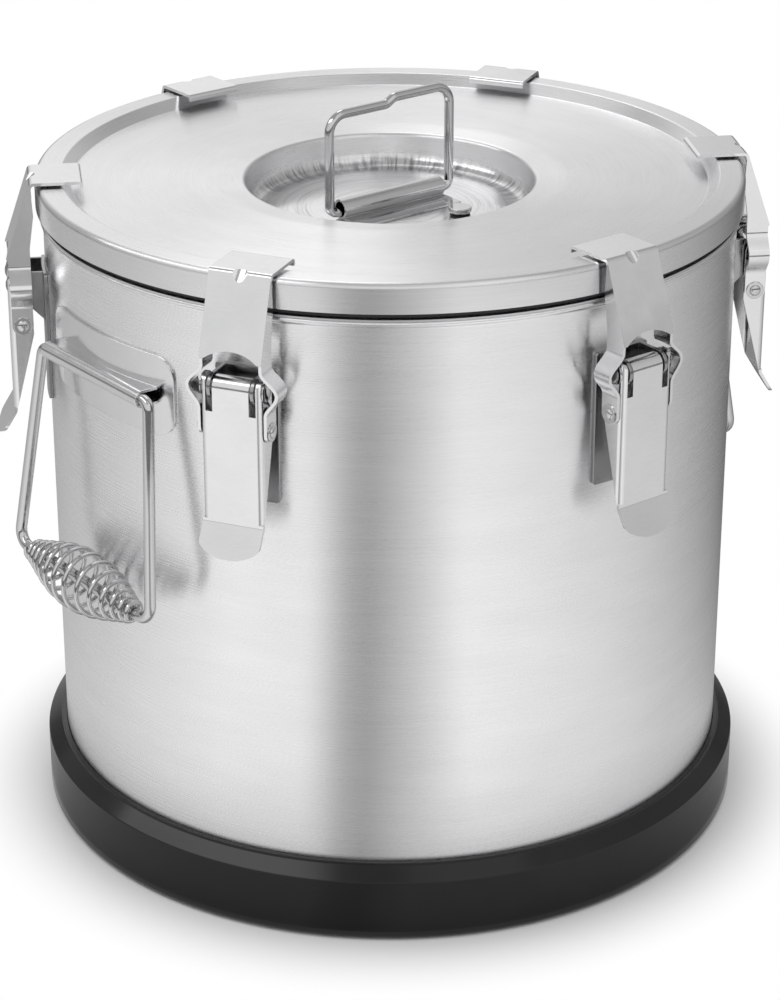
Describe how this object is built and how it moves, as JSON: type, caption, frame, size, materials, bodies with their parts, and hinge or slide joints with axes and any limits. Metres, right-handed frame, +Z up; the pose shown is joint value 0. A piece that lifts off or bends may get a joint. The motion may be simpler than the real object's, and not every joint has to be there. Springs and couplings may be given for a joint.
{
  "type": "insulated food container",
  "caption": "Round double-walled insulated food container with a lift-off lid held by toggle latches, hanging bails with spring grips and a black base ring.",
  "frame": {"origin": "centre of the base ring's underside, on the floor", "axes": "+Z up along the container's axis, the two bails hang on the -X and +X sides, the front between the camera-side latches faces -X -Y"},
  "size_m": [0.4294, 0.4214, 0.392],
  "materials": {
    "shell_steel": "fine brushed around the body",
    "lid_steel": "fine brushed in rings",
    "vessel_steel": "satin",
    "latch_steel": "bright pressed sheet",
    "bright_steel": "polished wire and pins",
    "black_plastic": "satin black",
    "black_rubber": "matte",
    "foam": "closed-cell foam, hidden"
  },
  "bodies": {
    "container": {"outer_shell": "shell_steel", "inner_vessel": "vessel_steel", "body_insulation": "foam", "shell_bottom": "shell_steel", "base_ring": "black_plastic", "handle_bracket_left": "latch_steel", "handle_bracket_right": "latch_steel", "lever_pins": "bright_steel", "latch_base_1": "latch_steel", "latch_base_2": "latch_steel", "latch_base_3": "latch_steel", "latch_base_4": "latch_steel", "latch_base_5": "latch_steel", "latch_base_6": "latch_steel"},
    "lever_1": {"latch_lever_1": "latch_steel"},
    "rivets_1": {"hook_rivets_1": "bright_steel"},
    "hook_1": {"latch_hook_1": "latch_steel"},
    "lever_2": {"latch_lever_2": "latch_steel"},
    "rivets_2": {"hook_rivets_2": "bright_steel"},
    "hook_2": {"latch_hook_2": "latch_steel"},
    "lever_3": {"latch_lever_3": "latch_steel"},
    "rivets_3": {"hook_rivets_3": "bright_steel"},
    "hook_3": {"latch_hook_3": "latch_steel"},
    "lever_4": {"latch_lever_4": "latch_steel"},
    "rivets_4": {"hook_rivets_4": "bright_steel"},
    "hook_4": {"latch_hook_4": "latch_steel"},
    "lever_5": {"latch_lever_5": "latch_steel"},
    "rivets_5": {"hook_rivets_5": "bright_steel"},
    "hook_5": {"latch_hook_5": "latch_steel"},
    "lever_6": {"latch_lever_6": "latch_steel"},
    "rivets_6": {"hook_rivets_6": "bright_steel"},
    "hook_6": {"latch_hook_6": "latch_steel"},
    "bail_left": {"bail_left": "bright_steel"},
    "grip_left": {"spring_grip_left": "bright_steel"},
    "bail_right": {"bail_right": "bright_steel"},
    "grip_right": {"spring_grip_right": "bright_steel"},
    "lid": {"lid_cover": "lid_steel", "lid_liner": "vessel_steel", "lid_insulation": "foam", "lid_gasket": "black_rubber", "lid_handle_clip": "bright_steel", "vent_bushing": "bright_steel", "vent_nut": "bright_steel"},
    "lid_handle": {"lid_handle": "bright_steel"},
    "vent": {"vent_cap": "bright_steel", "vent_seal": "black_rubber"}
  },
  "joints": [
    {"name": "lid_lift", "type": "slide", "parent": "container", "child": "lid", "axis": [0, 0, 1], "range_m": [0, 0.013]},
    {"name": "lever_1_open", "type": "hinge", "parent": "container", "child": "lever_1", "pos_m": [0.16974, 0.098, 0.301], "axis": [0.5, -0.866, 0], "range_deg": [0, 90]},
    {"name": "rivets_1_turn", "type": "hinge", "parent": "lever_1", "child": "rivets_1", "pos_m": [0.16861, 0.09735, 0.2805], "axis": [0.5, -0.866, 0], "range_deg": [-90, 0]},
    {"name": "hook_1_swing", "type": "hinge", "parent": "rivets_1", "child": "hook_1", "pos_m": [0.16861, 0.09735, 0.2805], "axis": [-0.5, 0.866, 0], "range_deg": [0, 58]},
    {"name": "lever_2_open", "type": "hinge", "parent": "container", "child": "lever_2", "pos_m": [0, 0.196, 0.301], "axis": [1, 0, 0], "range_deg": [0, 90]},
    {"name": "rivets_2_turn", "type": "hinge", "parent": "lever_2", "child": "rivets_2", "pos_m": [0, 0.1947, 0.2805], "axis": [1, 0, 0], "range_deg": [-90, 0]},
    {"name": "hook_2_swing", "type": "hinge", "parent": "rivets_2", "child": "hook_2", "pos_m": [0, 0.1947, 0.2805], "axis": [-1, 0, 0], "range_deg": [0, 58]},
    {"name": "lever_3_open", "type": "hinge", "parent": "container", "child": "lever_3", "pos_m": [-0.16974, 0.098, 0.301], "axis": [0.5, 0.866, 0], "range_deg": [0, 90]},
    {"name": "rivets_3_turn", "type": "hinge", "parent": "lever_3", "child": "rivets_3", "pos_m": [-0.16861, 0.09735, 0.2805], "axis": [0.5, 0.866, 0], "range_deg": [-90, 0]},
    {"name": "hook_3_swing", "type": "hinge", "parent": "rivets_3", "child": "hook_3", "pos_m": [-0.16861, 0.09735, 0.2805], "axis": [-0.5, -0.866, 0], "range_deg": [0, 58]},
    {"name": "lever_4_open", "type": "hinge", "parent": "container", "child": "lever_4", "pos_m": [-0.16974, -0.098, 0.301], "axis": [-0.5, 0.866, 0], "range_deg": [0, 90]},
    {"name": "rivets_4_turn", "type": "hinge", "parent": "lever_4", "child": "rivets_4", "pos_m": [-0.16861, -0.09735, 0.2805], "axis": [-0.5, 0.866, 0], "range_deg": [-90, 0]},
    {"name": "hook_4_swing", "type": "hinge", "parent": "rivets_4", "child": "hook_4", "pos_m": [-0.16861, -0.09735, 0.2805], "axis": [0.5, -0.866, 0], "range_deg": [0, 58]},
    {"name": "lever_5_open", "type": "hinge", "parent": "container", "child": "lever_5", "pos_m": [0, -0.196, 0.301], "axis": [-1, 0, 0], "range_deg": [0, 90]},
    {"name": "rivets_5_turn", "type": "hinge", "parent": "lever_5", "child": "rivets_5", "pos_m": [0, -0.1947, 0.2805], "axis": [-1, 0, 0], "range_deg": [-90, 0]},
    {"name": "hook_5_swing", "type": "hinge", "parent": "rivets_5", "child": "hook_5", "pos_m": [0, -0.1947, 0.2805], "axis": [1, 0, 0], "range_deg": [0, 58]},
    {"name": "lever_6_open", "type": "hinge", "parent": "container", "child": "lever_6", "pos_m": [0.16974, -0.098, 0.301], "axis": [-0.5, -0.866, 0], "range_deg": [0, 90]},
    {"name": "rivets_6_turn", "type": "hinge", "parent": "lever_6", "child": "rivets_6", "pos_m": [0.16861, -0.09735, 0.2805], "axis": [-0.5, -0.866, 0], "range_deg": [-90, 0]},
    {"name": "hook_6_swing", "type": "hinge", "parent": "rivets_6", "child": "hook_6", "pos_m": [0.16861, -0.09735, 0.2805], "axis": [0.5, 0.866, 0], "range_deg": [0, 58]},
    {"name": "bail_left_lift", "type": "hinge", "parent": "container", "child": "bail_left", "pos_m": [-0.18635, 0, 0.2815], "axis": [0, 1, 0], "range_deg": [0, 165]},
    {"name": "grip_left_spin", "type": "hinge", "parent": "bail_left", "child": "grip_left", "pos_m": [-0.1985, 0, 0.17117], "axis": [0, 1, 0], "continuous": true},
    {"name": "bail_right_lift", "type": "hinge", "parent": "container", "child": "bail_right", "pos_m": [0.18635, 0, 0.2815], "axis": [0, -1, 0], "range_deg": [0, 165]},
    {"name": "grip_right_spin", "type": "hinge", "parent": "bail_right", "child": "grip_right", "pos_m": [0.1985, 0, 0.17117], "axis": [0, 1, 0], "continuous": true},
    {"name": "lid_handle_fold", "type": "hinge", "parent": "lid", "child": "lid_handle", "pos_m": [0, 0, 0.33455], "axis": [-1, 0, 0], "range_deg": [-50, 85]},
    {"name": "vent_lift", "type": "slide", "parent": "lid", "child": "vent", "axis": [0, 0, 1], "range_m": [0, 0.003]}
  ],
  "couplings": [
    {"joint": "rivets_1_turn", "follows": "lever_1_open", "ratio": -1},
    {"joint": "hook_1_swing", "follows": "lid_lift", "rad_per_m": 77.868},
    {"joint": "rivets_2_turn", "follows": "lever_2_open", "ratio": -1},
    {"joint": "hook_2_swing", "follows": "lid_lift", "rad_per_m": 77.868},
    {"joint": "rivets_3_turn", "follows": "lever_3_open", "ratio": -1},
    {"joint": "hook_3_swing", "follows": "lid_lift", "rad_per_m": 77.868},
    {"joint": "rivets_4_turn", "follows": "lever_4_open", "ratio": -1},
    {"joint": "hook_4_swing", "follows": "lid_lift", "rad_per_m": 77.868},
    {"joint": "rivets_5_turn", "follows": "lever_5_open", "ratio": -1},
    {"joint": "hook_5_swing", "follows": "lid_lift", "rad_per_m": 77.868},
    {"joint": "rivets_6_turn", "follows": "lever_6_open", "ratio": -1},
    {"joint": "hook_6_swing", "follows": "lid_lift", "rad_per_m": 77.868}
  ]
}
